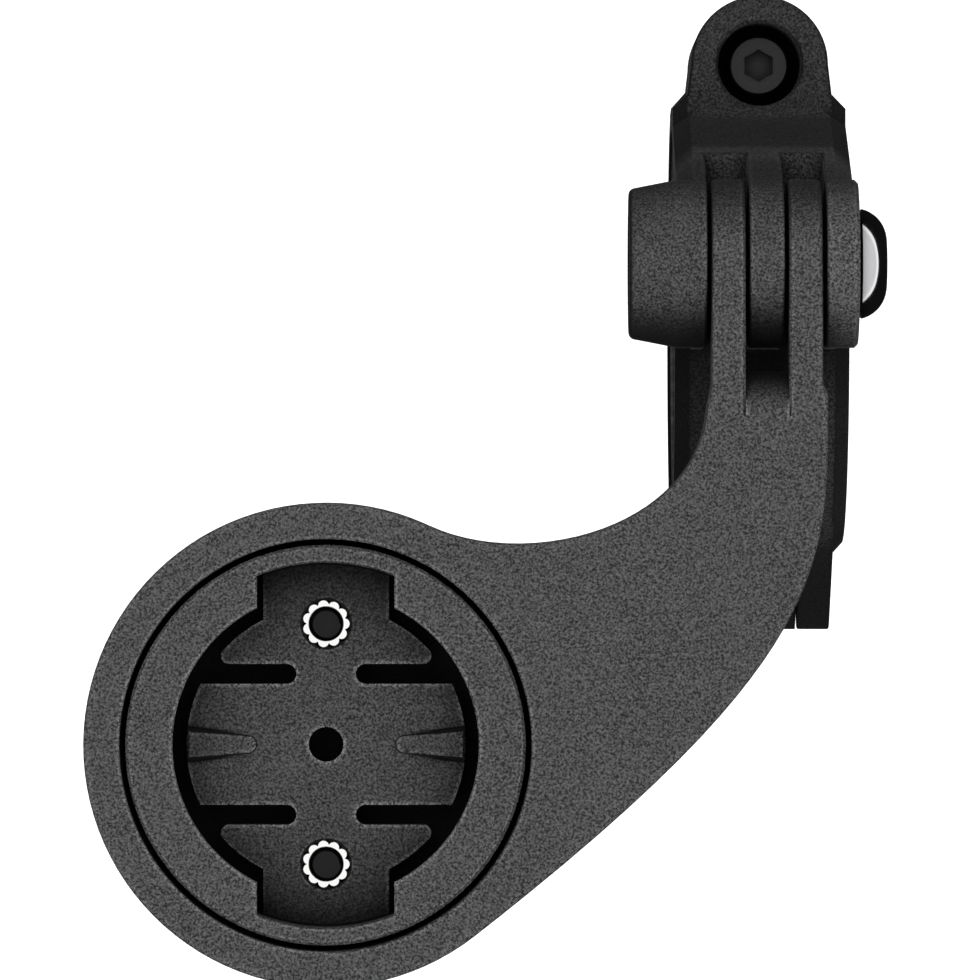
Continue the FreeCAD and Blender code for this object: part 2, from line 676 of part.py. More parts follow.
def clamp_screw():
    """M3 cap screw that closes the clamp."""
    head_top = screw_seat + clamp_head_height
    points = [(screw_tip, 0), (screw_tip, clamp_screw_core_radius - clamp_head_edge),
              (screw_tip + clamp_head_edge, clamp_screw_core_radius), (screw_seat, clamp_screw_core_radius),
              (screw_seat, clamp_head_radius), (head_top - clamp_head_edge, clamp_head_radius),
              (head_top, clamp_head_radius - clamp_head_edge), (head_top, 0)]
    body = turned(points, vec(0, ear_screw_forward, 0), vec(0, 0, 1), vec(1, 0, 0))
    key = hexagon(clamp_key, clamp_key_depth, vec(0, ear_screw_forward, head_top - clamp_key_depth),
                  vec(0, 0, 1), vec(0, 1, 0))
    return body.cut(key)


def clamp_nut():
    return nut(m3_nut_flats, m3_nut_height, clamp_screw_core_radius + m3_nut_thread_play,
               vec(0, ear_screw_forward, nut_top - m3_nut_height), vec(0, 0, 1), vec(0, 1, 0))


def pivot_bolt():
    """M5 button-head bolt through all five prongs."""
    rise = button_head_height - button_rim_height
    run = button_head_radius - button_flat_radius
    curve = (run ** 2 + rise ** 2) / (2 * rise)
    half_turn = math.asin(run / curve) / 2
    centre = vec(washer_face, pivot_forward, pivot_height)

    def at(along, radius):
        return centre + vec(along, 0, radius)
    rim = at(button_rim_height, button_head_radius)
    middle = at(button_head_height - curve * (1 - math.cos(half_turn)),
                button_flat_radius + curve * math.sin(half_turn))
    flat = at(button_head_height, button_flat_radius)
    tip = -m5_length
    corners = [at(button_head_height, 0), at(tip, 0), at(tip, m5_radius - bolt_tip_bevel),
               at(tip + bolt_tip_bevel, m5_radius), at(0, m5_radius), at(0, button_head_radius), rim]
    edges = [Part.LineSegment(a, b).toShape() for a, b in zip(corners, corners[1:])]
    edges.append(Part.Arc(rim, middle, flat).toShape())
    edges.append(Part.LineSegment(flat, corners[0]).toShape())
    body = Part.Face(Part.Wire(edges)).revolve(centre, vec(1, 0, 0), 360)
    key = hexagon(button_key, button_key_depth, at(button_head_height - button_key_depth, 0),
                  vec(1, 0, 0), vec(0, 1, 0))
    return body.cut(key)


def pivot_nut():
    seat = vec(-(outer_prong_inner + m5_nut_wall), pivot_forward, pivot_height)
    return nut(m5_nut_flats, m5_nut_height, m5_radius, seat, vec(-1, 0, 0), vec(0, 0, 1))


def hinge_pin():
    end = hinge_half_width - hinge_pin_inset
    return rod_x(hinge_pin_radius, -end, end, -hinge_back, pin_height)


front, rear = insert_places()
pieces = {
    "clamp_saddle": clamp_saddle(),
    "saddle_liner": liner(above(liner_parting_gap / 2)),
    "clamp_strap": clamp_strap(),
    "strap_liner": liner(below(-liner_parting_gap / 2)),
    "hinge_pin": hinge_pin(),
    "clamp_screw": clamp_screw(),
    "clamp_nut": clamp_nut(),
    "pivot_bolt": pivot_bolt(),
    "pivot_nut": pivot_nut(),
    "arm": arm(),
    "twist_socket": twist_socket(),
    "socket_insert_front": knurled_insert(front),
    "socket_insert_rear": knurled_insert(rear),
    "socket_screw_front": socket_screw(front),
    "socket_screw_rear": socket_screw(rear),
}

os.makedirs("parts", exist_ok=True)
for name, shape in pieces.items():
    print(name, "solids", len(shape.Solids), "volume", round(shape.Volume, 1), "valid", shape.isValid())
    shape.exportStep("parts/" + name + ".step")
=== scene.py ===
import math
import bmesh
import bpy
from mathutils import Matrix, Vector


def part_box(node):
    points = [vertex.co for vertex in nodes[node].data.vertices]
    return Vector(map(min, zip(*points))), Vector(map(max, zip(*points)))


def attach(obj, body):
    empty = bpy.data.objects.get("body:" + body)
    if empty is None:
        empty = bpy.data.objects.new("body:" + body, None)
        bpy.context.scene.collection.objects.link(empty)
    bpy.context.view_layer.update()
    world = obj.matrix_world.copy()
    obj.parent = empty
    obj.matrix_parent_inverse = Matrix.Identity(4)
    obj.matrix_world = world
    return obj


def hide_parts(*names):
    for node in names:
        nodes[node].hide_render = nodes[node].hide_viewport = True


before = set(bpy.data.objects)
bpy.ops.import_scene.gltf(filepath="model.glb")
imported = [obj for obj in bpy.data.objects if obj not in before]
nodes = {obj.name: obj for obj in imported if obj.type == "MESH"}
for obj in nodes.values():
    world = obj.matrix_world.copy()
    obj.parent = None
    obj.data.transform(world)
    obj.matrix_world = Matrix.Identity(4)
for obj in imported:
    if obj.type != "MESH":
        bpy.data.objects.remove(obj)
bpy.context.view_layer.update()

# The camera hangs over the arm's flat top and looks straight down, with the handlebar's line
# across the picture and forward at its top, as the photograph was taken.
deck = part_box("arm")[1].z
camera_height = 0.850
camera_x = -0.0238
camera_y = -0.0147
framed_width = 0.0840
bpy.ops.object.camera_add(location=(camera_x, camera_y, deck + camera_height), rotation=(0, 0, 0))
camera = bpy.context.object
camera.data.sensor_width = 36.0
camera.data.lens = camera.data.sensor_width * camera_height / framed_width
camera.data.clip_start = 0.01
camera.data.clip_end = 20.0
bpy.context.scene.camera = camera

# A pale, even floor lies well below the mount, which a handlebar would hold clear of it. It is
# exposed to near white, so that the dark plastic stands out, and it lets a view from below through.
floor_height = -0.260
floor_size = 6.0
floor_tone = 0.80
floor_glow = 0.60
bpy.ops.mesh.primitive_plane_add(size=floor_size, location=(0, 0, floor_height))
floor = bpy.context.object
floor.name = "studio_floor"
pale = bpy.data.materials.new("pale_floor")
pale.use_nodes = True
pale_shader = pale.node_tree.nodes["Principled BSDF"]
pale_shader.inputs["Base Color"].default_value = (floor_tone, floor_tone, floor_tone, 1)
pale_shader.inputs["Roughness"].default_value = 0.9
pale_shader.inputs["Specular IOR Level"].default_value = 0.1
pale_shader.inputs["Emission Color"].default_value = (1, 1, 1, 1)
pale_shader.inputs["Emission Strength"].default_value = floor_glow
open_side = pale.node_tree.nodes.new("ShaderNodeBsdfTransparent")
which_side = pale.node_tree.nodes.new("ShaderNodeNewGeometry")
both_sides = pale.node_tree.nodes.new("ShaderNodeMixShader")
pale_link = pale.node_tree.links.new
pale_link(which_side.outputs["Backfacing"], both_sides.inputs[0])
pale_link(pale_shader.outputs["BSDF"], both_sides.inputs[1])
pale_link(open_side.outputs["BSDF"], both_sides.inputs[2])
pale_link(both_sides.outputs["Shader"], pale.node_tree.nodes["Material Output"].inputs["Surface"])
floor.data.materials.append(pale)
floor.visible_glossy = False
floor.visible_diffuse = False

# Soft studio light: a ring of boxes above the mount, and a long low one on the right, none of them
# mirrored in the metal. Shiny faces mirror a white sky, brightest just over the dark ground. Dull
# faces get a trace of that sky, and from below the light that a pale floor throws back.
sky_for_shine = 1.0
low_sky_for_shine = 1.7
low_sky_band = (0.05, 0.22)
ground_for_shine = 0.008
horizon_band = (-0.03, 0.03)
sky_for_dull = 0.03
floor_for_dull = 0.80
bounce_band = (-0.20, 0.0)
sky_seen = 0.92
bpy.context.scene.view_settings.view_transform = "Standard"


def feed(tree, value, socket):
    """Links a value to a socket, or sets it there where it is a plain number or colour."""
    if isinstance(value, bpy.types.NodeSocket):
        tree.links.new(value, socket)
    else:
        socket.default_value = value


def fade(tree, value, start, end, least=0.0, most=1.0, shape="LINEAR"):
    """Goes from least to most as a value goes from start to end."""
    node = tree.nodes.new("ShaderNodeMapRange")
    node.interpolation_type = shape
    given = {"Value": value, "From Min": start, "From Max": end, "To Min": least, "To Max": most}
    for name, number in given.items():
        feed(tree, number, node.inputs[name])
    return node.outputs["Result"]


def mix(tree, factor, first, second, kind="FLOAT", way="MIX"):
    """Goes from the first number or colour to the second as the factor goes from 0 to 1."""
    node = tree.nodes.new("ShaderNodeMix")
    node.data_type = kind
    node.blend_type = way
    for name, value in {"Factor": factor, "A": first, "B": second}.items():
        feed(tree, value, node.inputs[name])
    return node.outputs["Result"]


world = bpy.data.worlds.new("studio_air")
bpy.context.scene.world = world
world.use_nodes = True
air = world.node_tree
ray = air.nodes.new("ShaderNodeLightPath")
direction = air.nodes.new("ShaderNodeTexCoord")
upwards = air.nodes.new("ShaderNodeSeparateXYZ")
air.links.new(direction.outputs["Generated"], upwards.inputs["Vector"])
above = fade(air, upwards.outputs["Z"], *low_sky_band, low_sky_for_shine, sky_for_shine)
mirrored = fade(air, upwards.outputs["Z"], *horizon_band, ground_for_shine, above)
bounced = fade(air, upwards.outputs["Z"], *bounce_band, floor_for_dull, sky_for_dull)
given_off = mix(air, ray.outputs["Is Glossy Ray"], bounced, mirrored)
air_strength = mix(air, ray.outputs["Is Camera Ray"], given_off, sky_seen)
air.nodes["Background"].inputs["Color"].default_value = (1, 1, 1, 1)
air.links.new(air_strength, air.nodes["Background"].inputs["Strength"])


def softbox(name, place, target, width, height, power):
    """A rectangular light that faces its target and isn't mirrored."""
    bpy.ops.object.light_add(type="AREA", location=place)
    light = bpy.context.object
    light.name = name
    light.rotation_euler = (Vector(target) - Vector(place)).to_track_quat("-Z", "Y").to_euler()
    light.data.shape = "RECTANGLE"
    light.data.size = width
    light.data.size_y = height
    light.data.energy = power
    light.visible_glossy = False


middle = Vector((-0.020, -0.015, 0.020))
ring_reach = 0.62
ring_rise = 1.02
ring_size = 0.6
ring_power = {"rear": (-90, 3.2), "rear_right": (-45, 2.3), "rear_left": (-135, 5.0),
              "front_right": (45, 3.5), "front_left": (135, 7.6)}
for side, (bearing, power) in ring_power.items():
    turn = math.radians(bearing)
    place = middle + Vector((ring_reach * math.cos(turn), ring_reach * math.sin(turn), ring_rise))
    softbox(side + "_light", place, middle, ring_size, ring_size, power)
low_right_place = middle + Vector((1.16, 0, 0.20))
low_right_width = 1.8
low_right_height = 0.30
low_right_power = 4.6
softbox("low_right_light", low_right_place, middle, low_right_width, low_right_height, low_right_power)


# The clamp's saddle and strap are moulded in black glass-filled nylon, in spark-eroded moulds that
# leave a fine, even, matt grain on every face. A pin hinges them behind the handlebar. The saddle
# carries the nut boss, the pivot's three prongs and the ear for the clamp screw.
grain_turn = (0.55, 0.35, 0.20)
grain_detail = 1.0
grain_sharpness = 0.7
pit_level = 0.345
peak_level = 0.715
cloud_size = 0.045
cloud_share = 0.12
# Painted shade: where its mask is 1, the grain is painted this near black and made this dull.
painted_shade_color = (0.0008, 0.0008, 0.0008, 1)
painted_shade_roughness = 1.0


def noise(tree, vector, scale, detail, roughness=0.5):
    """A noise pattern of this scale."""
    node = tree.nodes.new("ShaderNodeTexNoise")
    given = {"Vector": vector, "Scale": scale, "Detail": detail, "Roughness": roughness}
    for name, value in given.items():
        feed(tree, value, node.inputs[name])
    return node.outputs["Fac"]


def reckon(tree, operation, *values):
    """Works out one number from others."""
    node = tree.nodes.new("ShaderNodeMath")
    node.operation = operation
    for value, socket in zip(values, node.inputs):
        feed(tree, value, socket)
    return node.outputs["Value"]


def build_spark_grain():
    """Node group: the small round pits and bumps that a spark-eroded mould leaves, painted near black and
    dull where its painted shade mask is 1.
    """
    group = bpy.data.node_groups.new("spark_grain", "ShaderNodeTree")
    taken = {"Vector": "Vector", "Grain Scale": "Float", "Pit Color": "Color", "Peak Color": "Color",
             "Pit Roughness": "Float", "Peak Roughness": "Float", "Painted Shade": "Float"}
    for name, kind in taken.items():
        group.interface.new_socket(name=name, in_out="INPUT", socket_type="NodeSocket" + kind)
    for name, kind in {"Color": "Color", "Roughness": "Float", "Height": "Float"}.items():
        group.interface.new_socket(name=name, in_out="OUTPUT", socket_type="NodeSocket" + kind)
    given = group.nodes.new("NodeGroupInput")
    result = group.nodes.new("NodeGroupOutput")
    askew = group.nodes.new("ShaderNodeMapping")
    askew.inputs["Rotation"].default_value = grain_turn
    group.links.new(given.outputs["Vector"], askew.inputs["Vector"])
    scale = given.outputs["Grain Scale"]
    grain = noise(group, askew.outputs["Vector"], scale, grain_detail, grain_sharpness)
    height = fade(group, grain, pit_level, peak_level)
    cloud_scale = reckon(group, "MULTIPLY", scale, cloud_size)
    cloud = noise(group, given.outputs["Vector"], cloud_scale, grain_detail)
    tone = reckon(group, "MULTIPLY_ADD", cloud, cloud_share, height)
    color = mix(group, tone, given.outputs["Pit Color"], given.outputs["Peak Color"], "RGBA")
    rough = mix(group, height, given.outputs["Pit Roughness"], given.outputs["Peak Roughness"])
    painted_shade = given.outputs["Painted Shade"]
    shaded_color = mix(group, painted_shade, color, painted_shade_color, "RGBA")
    shaded_rough = mix(group, painted_shade, rough, painted_shade_roughness)
    group.links.new(shaded_color, result.inputs["Color"])
    group.links.new(shaded_rough, result.inputs["Roughness"])
    group.links.new(height, result.inputs["Height"])
    return group


spark_grain = build_spark_grain()
plastic_ior = 1.5
# Painted shade in corners and on steep faces, and a painted highlight on convex edges, for the moulded
# plastics.
corner_band = (0.92, 0.35)
steep_band = (0.75, 0.10)
steep_shade = 0.55
edge_reach = 0.0004
edge_band = (0.98, 0.72)
edge_lift = 3.2
upward_band = (0.0, 0.2)


def occlusion(tree, reach, inside=False):
    """How open a place is to its surroundings, or how thin its own body is."""
    node = tree.nodes.new("ShaderNodeAmbientOcclusion")
    node.samples = 2
    node.inside = inside
    node.inputs["Distance"].default_value = reach
    return node.outputs["AO"]


def shade_more(material, mask):
    """Adds a mask to the painted shade of a plastic. Where it is 1, a face that looks up is painted deep
    black.
    """
    tree = material.node_tree
    painted_shade = tree.nodes["grain"].inputs["Painted Shade"]
    seen = reckon(tree, "MULTIPLY", mask, tree.nodes["looks_up"].outputs["Result"])
    tree.links.new(mix(tree, seen, painted_shade.links[0].from_socket, 1.0), painted_shade)


def moulded_plastic(name, pit_color, peak_color, grain_scale, relief, roughness, shine, corner_reach=0.005):
    """Black spark-textured plastic, with painted shade in its corners and on its steep faces, and a painted
    highlight on its edges.
    """
    material = bpy.data.materials.new(name)
    material.use_nodes = True
    tree = material.node_tree
    shader = tree.nodes["Principled BSDF"]
    shader.inputs["IOR"].default_value = plastic_ior
    shader.inputs["Specular IOR Level"].default_value = shine
    place = tree.nodes.new("ShaderNodeTexCoord")
    facing = tree.nodes.new("ShaderNodeSeparateXYZ")
    facing.name = "facing"
    tree.links.new(place.outputs["Normal"], facing.inputs["Vector"])
    looks_up = fade(tree, facing.outputs["Z"], *upward_band)
    looks_up.node.name = "looks_up"
    grain = tree.nodes.new("ShaderNodeGroup")
    grain.node_tree = spark_grain
    grain.name = "grain"
    corners = fade(tree, occlusion(tree, corner_reach), *corner_band)
    given = {"Vector": place.outputs["Object"], "Grain Scale": grain_scale, "Painted Shade": corners,
             "Pit Color": (*pit_color, 1), "Peak Color": (*peak_color, 1),
             "Pit Roughness": roughness[0], "Peak Roughness": roughness[1]}
    for socket, value in given.items():
        feed(tree, value, grain.inputs[socket])
    shade_more(material, fade(tree, facing.outputs["Z"], *steep_band, 0.0, steep_shade))
    edges = fade(tree, occlusion(tree, edge_reach, True), *edge_band)
    edges.node.name = "edges"
    painted_highlight = (edge_lift, edge_lift, edge_lift, 1)
    lifted = mix(tree, edges, grain.outputs["Color"], painted_highlight, "RGBA", "MULTIPLY")
    lifted.node.name = "lifted"
    bump = tree.nodes.new("ShaderNodeBump")
    bump.inputs["Strength"].default_value = 1.0
    bump.inputs["Distance"].default_value = relief
    tree.links.new(grain.outputs["Height"], bump.inputs["Height"])
    tree.links.new(lifted, shader.inputs["Base Color"])
    tree.links.new(grain.outputs["Roughness"], shader.inputs["Roughness"])
    tree.links.new(bump.outputs["Normal"], shader.inputs["Normal"])
    return material


class Masks:
    """Masks for one material, worked out from the place of a point on the object, in metres."""

    def __init__(self, material):
        self.tree = material.node_tree
        place = self.tree.nodes.new("ShaderNodeTexCoord")
        axes = self.tree.nodes.new("ShaderNodeSeparateXYZ")
        self.tree.links.new(place.outputs["Object"], axes.inputs["Vector"])
        self.x = axes.outputs["X"]
        self.y = axes.outputs["Y"]
        self.z = axes.outputs["Z"]

    def ramp(self, value, start, end, least=0.0, most=1.0):
        """Goes softly from least to most as a value goes from start to end."""
        return fade(self.tree, value, start, end, least, most, "SMOOTHSTEP")

    def within(self, *masks):
        """The place that all the masks share."""
        shared = masks[0]
        for mask in masks[1:]:
            shared = reckon(self.tree, "MULTIPLY", shared, mask)
        return shared

    def outside(self, mask):
        """The place that a mask leaves free."""
        return reckon(self.tree, "SUBTRACT", 1.0, mask)

    def distance(self, value, centre=0.0):
        """How far a value is from a centre, to either side."""
        return reckon(self.tree, "ABSOLUTE", reckon(self.tree, "SUBTRACT", value, centre))

    def reach(self, centre):
        """The distance from an upright axis."""
        away = [reckon(self.tree, "SUBTRACT", self.x, centre.x),
                reckon(self.tree, "SUBTRACT", self.y, centre.y)]
        squares = [reckon(self.tree, "MULTIPLY", value, value) for value in away]
        return reckon(self.tree, "POWER", reckon(self.tree, "ADD", *squares), 0.5)


def dress(node_name, material):
    """Gives a solid of the frame its finish."""
    mesh = nodes[node_name].data
    mesh.materials.clear()
    mesh.materials.append(material)


nylon_look = ((0.002, 0.002, 0.002), (0.096, 0.096, 0.097), 4900, 0.00005, (0.66, 0.54), 0.25)
clamp_corner_reach = 0.003
clamp_nylon = moulded_plastic("clamp_nylon", *nylon_look, clamp_corner_reach)
clamp = Masks(clamp_nylon)

# Painted shade: from the deck's level (0) down to the bar's axis (1), the colour is painted darker as the
# light that gets past the arm falls off.
clamp_falloff = ((0.12, 0.42), (0.22, 0.58), (0.29, 0.54), (0.37, 0.20), (0.41, 0.20), (0.46, 0.70),
                 (0.62, 0.66), (0.70, 0.53), (0.82, 0.86))
falloff = clamp.tree.nodes.new("ShaderNodeFloatCurve")
curve = falloff.mapping.curves[0]
curve.points[0].location = (0.0, 0.10)
curve.points[1].location = (1.0, 0.93)
for level, shade in clamp_falloff:
    curve.points.new(level, shade)
falloff.mapping.update()
clamp.tree.links.new(fade(clamp.tree, clamp.z, deck, 0.0), falloff.inputs["Value"])

# The right-hand knuckle and the ring's right side lie open to the low light, so they get less of that
# painted shade.
on_right = clamp.ramp(clamp.x, 0.0048, 0.0056)
behind_ear = clamp.ramp(clamp.y, 0.0105, 0.0065)
ahead_of_hinge = clamp.ramp(clamp.y, -0.0200, -0.0160, 0.0, 0.45)
spared = clamp.within(on_right, behind_ear, ahead_of_hinge)
shade_more(clamp_nylon, clamp.within(falloff.outputs["Value"], clamp.outside(spared)))

# Painted shade darkens the knuckles' rear, the gaps between the prongs and the ring under the arm, which
# lie in its shade.
slot_half = 0.0019
on_knuckle = clamp.ramp(clamp.z, 0.020, 0.026)
knuckle_rear = clamp.ramp(clamp.y, 0.0022, -0.0018, 0.0, 0.85)
left_of_washer = clamp.ramp(clamp.x, 0.0052, 0.0044)
shade_more(clamp_nylon, clamp.within(knuckle_rear, left_of_washer, on_knuckle))
between_prongs = clamp.ramp(clamp.distance(clamp.x), slot_half + 0.0004, slot_half)
behind_knuckle = clamp.ramp(clamp.y, -0.0022, -0.0028, 0.0, 0.97)
shade_more(clamp_nylon, clamp.within(between_prongs, behind_knuckle))
under_arm = clamp.ramp(clamp.y, -0.0085, -0.0035, 0.0, 0.6)
below_knuckle = clamp.ramp(clamp.z, 0.026, 0.020)
behind_pivot = clamp.ramp(clamp.y, 0.004, 0.0)
shade_more(clamp_nylon, clamp.within(under_arm, below_knuckle, behind_pivot))

# Painted shade darkens the edges and sideways faces of the ring and the ear; a painted highlight makes the
# knuckles' edges paler, and the right-hand knuckle a little paler all over.
right_of_boss_end = clamp.ramp(clamp.x, -0.0105, -0.0100)
prong_edges = clamp.within(on_knuckle, right_of_boss_end)
outline = clamp.outside(prong_edges)
edges = clamp.tree.nodes["edges"].outputs["Result"]
to_side = clamp.distance(clamp.tree.nodes["facing"].outputs["X"])
sideways = clamp.ramp(to_side, 0.35, 0.80, 0.0, 0.85)
shade_more(clamp_nylon, clamp.within(sideways, outline))
shade_more(clamp_nylon, clamp.within(edges, outline))
painted_right_highlight = clamp.within(on_right, on_knuckle, 0.15)
painted_highlight = reckon(clamp.tree, "MAXIMUM", clamp.within(edges, prong_edges), painted_right_highlight)
clamp.tree.links.new(painted_highlight, clamp.tree.nodes["lifted"].inputs["Factor"])
for name in ("clamp_saddle", "clamp_strap"):
    dress(name, clamp_nylon)

# The two liners are half shells of black rubber, pushed into the clamp's halves. They grip the
# handlebar and protect its finish.
rubber_look = ((0.010, 0.010, 0.010), (0.022, 0.022, 0.022), 1500, 0.00001, (0.85, 0.7), 0.3)
rubber = moulded_plastic("liner_rubber", *rubber_look)
for name in ("saddle_liner", "strap_liner"):
    dress(name, rubber)


# Nuts and hinge pin are plain zinc-plated steel, cut from hexagon and round bar. The nuts sit in
# hexagonal pockets, and the pin is pressed into the saddle's two knuckles.
mark_detail = 3.0
# Painted shade darkens the metal in its corners.
metal_corner_reach = 0.0015
metal_corner_band = (0.95, 0.35)
metal_corner_shade = 0.92
metal_corner_color = (0.001, 0.001, 0.001, 1)


def metal(name, color, darker, metallic, roughness, mark_scale, relief):
    """Metal with faint, uneven marks of its making and finish, and painted shade that darkens it in its
    corners.
    """
    material = bpy.data.materials.new(name)
    material.use_nodes = True
    tree = material.node_tree
    shader = tree.nodes["Principled BSDF"]
    shader.inputs["Metallic"].default_value = metallic
    place = tree.nodes.new("ShaderNodeTexCoord")
    marks = noise(tree, place.outputs["Object"], mark_scale, mark_detail)
    tone = mix(tree, marks, (*darker, 1), (*color, 1), "RGBA")
    open_sky = occlusion(tree, metal_corner_reach)
    corners = fade(tree, open_sky, *metal_corner_band, 0.0, metal_corner_shade)
    bump = tree.nodes.new("ShaderNodeBump")
    bump.inputs["Distance"].default_value = relief
    tree.links.new(marks, bump.inputs["Height"])
    shaded = mix(tree, corners, tone, metal_corner_color, "RGBA")
    tree.links.new(shaded, shader.inputs["Base Color"])
    tree.links.new(fade(tree, marks, 0.0, 1.0, *roughness), shader.inputs["Roughness"])
    tree.links.new(bump.outputs["Normal"], shader.inputs["Normal"])
    return material


zinc = metal("zinc_steel", (0.62, 0.62, 0.62), (0.45, 0.45, 0.46), 1.0, (0.25, 0.45), 1500, 0.000003)
for name in ("pivot_nut", "clamp_nut", "hinge_pin"):
    dress(name, zinc)


# The clamp screw is an M3 cap screw of blackened steel. Its head has a straight knurl, a bevelled
# rim and a hexagon socket, and it draws the strap's ear up to the saddle's.
thread_flank = 0.38
thread_flat = 0.12
thread_steps = 24
thread_point = 0.6
same_place = 1e-7
smooth_below = math.radians(32)


def start_point(name, radius, height):
    """A new object in edit mode with one point, for an outline that is drawn by extruding."""
    bpy.ops.object.select_all(action="DESELECT")
    bpy.ops.mesh.primitive_plane_add(size=0.001, location=(0, 0, 0))
    piece = bpy.context.object
    piece.name = name
    bpy.ops.object.mode_set(mode="EDIT")
    bpy.ops.mesh.select_all(action="SELECT")
    bpy.ops.mesh.merge(type="CENTER")
    bpy.ops.transform.translate(value=(radius, 0, height))
    return piece


def draw_on(steps):
    """Extrudes the last point along the steps (radius, height)."""
    for radius, height in steps:
        bpy.ops.mesh.extrude_region_move(TRANSFORM_OT_translate={"value": (radius, 0, height)})


def select_points(piece, test):
    """Selects the points of a piece in edit mode that pass a test of their place."""
    bpy.ops.mesh.select_mode(type="VERT")
    bpy.ops.mesh.select_all(action="DESELECT")
    points = bmesh.from_edit_mesh(piece.data)
    for point in points.verts:
        point.select = test(point.co)
    points.select_flush(True)
    bmesh.update_edit_mesh(piece.data)


def select_open_edge(piece, half_height, side):
    """Selects the open edge above (side 1) or below (side -1) a height."""
    bpy.ops.mesh.select_mode(type="VERT")
    bpy.ops.mesh.select_all(action="DESELECT")
    bpy.ops.mesh.select_non_manifold()
    points = bmesh.from_edit_mesh(piece.data)
    for point in points.verts:
        if (point.co.z - half_height) * side < 0:
            point.select = False
    points.select_flush(False)
    bmesh.update_edit_mesh(piece.data)


def lathe(name, outline, facets):
    """A turned blank on the Z axis. The outline's points are (radius, height), from pole to pole."""
    piece = start_point(name, *outline[0])
    draw_on([(b[0] - a[0], b[1] - a[1]) for a, b in zip(outline, outline[1:])])
    bpy.ops.mesh.select_all(action="SELECT")
    bpy.ops.mesh.spin(steps=facets, angle=math.tau, center=(0, 0, 0), axis=(0, 0, 1))
    bpy.ops.mesh.select_all(action="SELECT")
    bpy.ops.mesh.remove_doubles(threshold=same_place)
    bpy.ops.mesh.normals_make_consistent(inside=False)
    bpy.ops.object.mode_set(mode="OBJECT")
    return piece


def thread(name, root, crest, pitch, low, high, taper=0.9):
    """An external thread on the Z axis, closed at both ends and narrowed at the lower one."""
    turns = math.ceil((high - low) / pitch)
    piece = start_point(name, root, high - turns * pitch)
    draw_on([(crest - root, thread_flank * pitch), (0, thread_flat * pitch),
             (root - crest, thread_flank * pitch), (0, thread_flat * pitch)])
    bpy.ops.object.mode_set(mode="OBJECT")
    screw = piece.modifiers.new("turns", "SCREW")
    screw.axis = "Z"
    screw.screw_offset = pitch
    screw.iterations = turns
    screw.steps = thread_steps
    screw.render_steps = thread_steps
    bpy.ops.object.modifier_apply(modifier=screw.name)
    bpy.ops.object.mode_set(mode="EDIT")
    bpy.ops.mesh.select_all(action="SELECT")
    bpy.ops.mesh.remove_doubles(threshold=same_place)
    half_height = (low + high) / 2
    for end, side in ((low, -1), (high, 1)):
        select_open_edge(piece, half_height, side)
        bpy.ops.transform.resize(value=(1, 1, 0), center_override=(0, 0, end))
        bpy.ops.mesh.remove_doubles(threshold=same_place)
        select_open_edge(piece, half_height, side)
        bpy.ops.mesh.edge_face_add()
    select_points(piece, lambda place: place.z < low + thread_point * pitch)
    bpy.ops.transform.resize(value=(taper, taper, 1), center_override=(0, 0, low))
    bpy.ops.mesh.select_all(action="SELECT")
    bpy.ops.mesh.normals_make_consistent(inside=False)
    bpy.ops.object.mode_set(mode="OBJECT")
    return piece


def sink_hexagon(piece, flats, depth, top):
    """Cuts a hexagon socket into the top of a blank that stands on the Z axis."""
    bpy.ops.object.select_all(action="DESELECT")
    bpy.ops.mesh.primitive_cylinder_add(vertices=6, radius=flats / math.sqrt(3), depth=2 * depth,
                                        location=(0, 0, top))
    cutter = bpy.context.object
    cut = piece.modifiers.new("key", "BOOLEAN")
    cut.operation = "DIFFERENCE"
    cut.object = cutter
    bpy.context.view_layer.objects.active = piece
    bpy.ops.object.modifier_apply(modifier=cut.name)
    bpy.data.objects.remove(cutter)


def place_fastener(pieces, turn, location, *materials):
    """Joins the parts of a fastener, turns it to its axis and leaves its place in the mesh."""
    bpy.ops.object.select_all(action="DESELECT")
    for piece, material in zip(pieces, materials):
        piece.data.materials.clear()
        piece.data.materials.append(material)
        piece.select_set(True)
    bpy.context.view_layer.objects.active = pieces[0]
    bpy.ops.object.join()
    whole = bpy.context.object
    whole.rotation_euler = turn
    whole.location = location
    bpy.ops.object.transform_apply(location=True, rotation=True, scale=True)
    bpy.ops.object.shade_smooth_by_angle(angle=smooth_below)
    return whole


black_steel = metal("blackened_steel", (0.034, 0.034, 0.035), (0.024, 0.024, 0.025), 0.8, (0.38, 0.50),
                    1500, 0.000002)
screw_low, screw_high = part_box("clamp_screw")
screw_axis = (screw_low + screw_high) / 2
cap_radius = (screw_high.x - screw_low.x) / 2
cap_height = 0.003
cap_rim = 0.0003
knurl_facets = 72
knurl_depth = 0.00011
knurl_low = 0.00020
knurl_high = cap_height - 0.00042
bevel_foot = cap_height - 0.00022
cap_key = 0.0025
cap_key_depth = 0.0014
cap_key_bevel = 0.00002
screw_root = 0.00122
screw_crest = 0.00146
screw_pitch = 0.0005
screw_overlap = 0.00004
key_mouth = cap_key / math.sqrt(3) + cap_key_bevel
cap = [(0, cap_height - cap_key_bevel), (key_mouth - cap_key_bevel, cap_height - cap_key_bevel),
       (key_mouth, cap_height), (cap_radius - cap_rim, cap_height), (cap_radius - knurl_depth, bevel_foot),
       (cap_radius, knurl_high), (cap_radius, knurl_low), (cap_radius - knurl_depth, 0), (0, 0)]
screw_head = lathe("clamp_screw_cap", cap, knurl_facets)
bpy.ops.object.mode_set(mode="EDIT")


def in_groove(place):
    """Every second facet of the knurl is a groove."""
    facet = round(math.atan2(place.y, place.x) / math.tau * knurl_facets)
    return facet % 2 == 1 and place.xy.length > cap_radius - knurl_depth / 2


